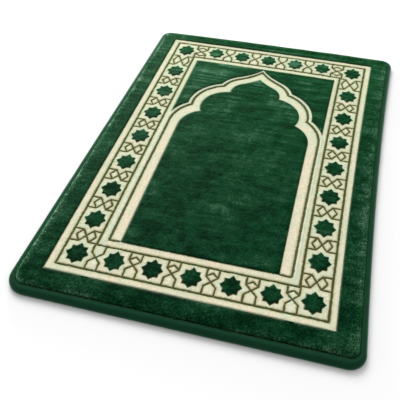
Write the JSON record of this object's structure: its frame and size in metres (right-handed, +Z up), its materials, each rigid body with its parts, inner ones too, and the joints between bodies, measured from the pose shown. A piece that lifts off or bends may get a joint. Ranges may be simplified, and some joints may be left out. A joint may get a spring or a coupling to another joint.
{
  "type": "prayer rug",
  "caption": "Padded rectangular prayer rug with a plush pile, a pointed niche, a border of stars and interlace, and a folded tape binding.",
  "frame": {"origin": "centre of the footprint, at floor level", "axes": "+X across the rug, +Y along it towards the end that the niche points to, +Z up out of the pile"},
  "size_m": [0.804, 1.2016, 0.025],
  "materials": {
    "plush_pile": "short cut pile in deep green with a cream pattern, matt with a soft sheen",
    "binding_tape": "smooth knitted tape in deep green, low sheen"
  },
  "bodies": {
    "root": {"plush_mat": "plush_pile", "edge_binding": "binding_tape"}
  },
  "joints": []
}
